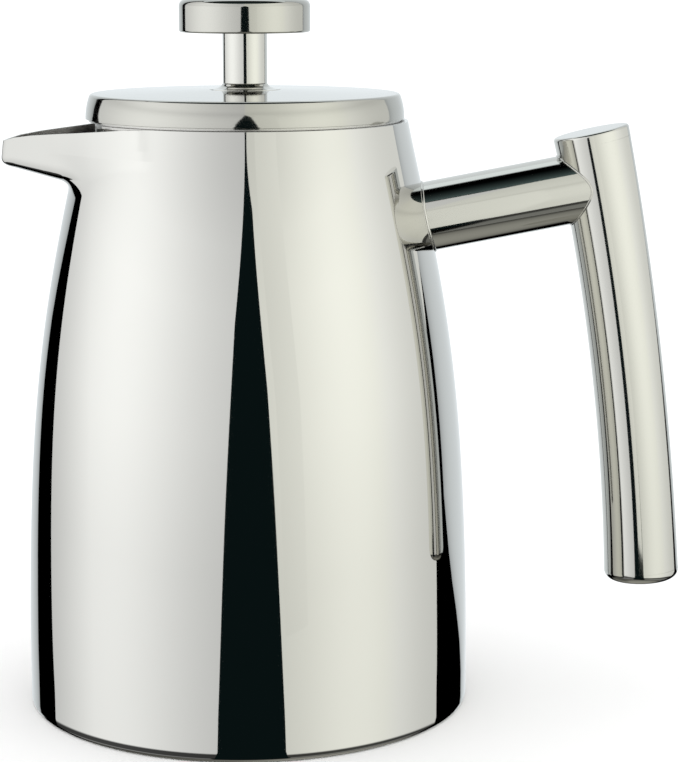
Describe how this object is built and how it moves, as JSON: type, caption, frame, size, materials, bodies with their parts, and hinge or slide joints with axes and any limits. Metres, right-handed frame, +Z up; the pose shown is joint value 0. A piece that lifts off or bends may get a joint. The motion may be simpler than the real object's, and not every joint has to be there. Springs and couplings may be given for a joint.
{
  "type": "french press",
  "caption": "Double-wall steel french press with a tapering body, beak spout, tubular side handle, lift-off lid and a knobbed plunger carrying a mesh filter.",
  "frame": {"origin": "on the pot's axis, in the plane of the base that it stands on", "axes": "+Z up along the pot's axis, +X towards the handle, -X towards the spout"},
  "size_m": [0.1835, 0.12, 0.19],
  "materials": {
    "mirror_steel": "mirror-polished stainless steel",
    "satin_steel": "satin stainless steel, turned or drawn",
    "weld_steel": "polished weld bead",
    "spring_steel": "bright drawn wire",
    "woven_mesh": "fine plain-woven wire cloth",
    "seal_silicone": "matt translucent grey silicone"
  },
  "bodies": {
    "pot": {"outer_shell": "mirror_steel", "inner_liner": "satin_steel", "base_plate": "satin_steel", "spout": "mirror_steel", "handle_arm": "mirror_steel", "arm_root_weld": "weld_steel", "handle_grip": "mirror_steel", "grip_weld": "weld_steel", "grip_top_cap": "mirror_steel", "grip_bottom_cap": "mirror_steel"},
    "lid_ring": {"lid_seal": "seal_silicone"},
    "lid": {"lid_cap": "mirror_steel", "lid_pan": "satin_steel", "guide_bush": "mirror_steel", "bush_washer": "satin_steel", "bush_nut": "satin_steel"},
    "plunger_ring": {"rod_collar": "satin_steel"},
    "plunger": {"plunger_rod": "mirror_steel", "knob": "mirror_steel", "knob_neck": "mirror_steel", "spring_plate": "satin_steel", "edge_spring": "spring_steel", "mesh_screen": "woven_mesh", "cross_plate": "satin_steel", "cross_hub": "satin_steel"}
  },
  "joints": [
    {"name": "lid_lift", "type": "slide", "parent": "pot", "child": "lid_ring", "axis": [0, 0, 1], "range_m": [0, 0.16]},
    {"name": "lid_turn", "type": "hinge", "parent": "lid_ring", "child": "lid", "pos_m": [0, 0, 0.1425], "axis": [0, 0, 1], "continuous": true},
    {"name": "plunger_slide", "type": "slide", "parent": "lid", "child": "plunger_ring", "axis": [0, 0, 1], "range_m": [0, 0.11]},
    {"name": "knob_turn", "type": "hinge", "parent": "plunger_ring", "child": "plunger", "pos_m": [0, 0, 0.0296], "axis": [0, 0, 1], "continuous": true}
  ]
}
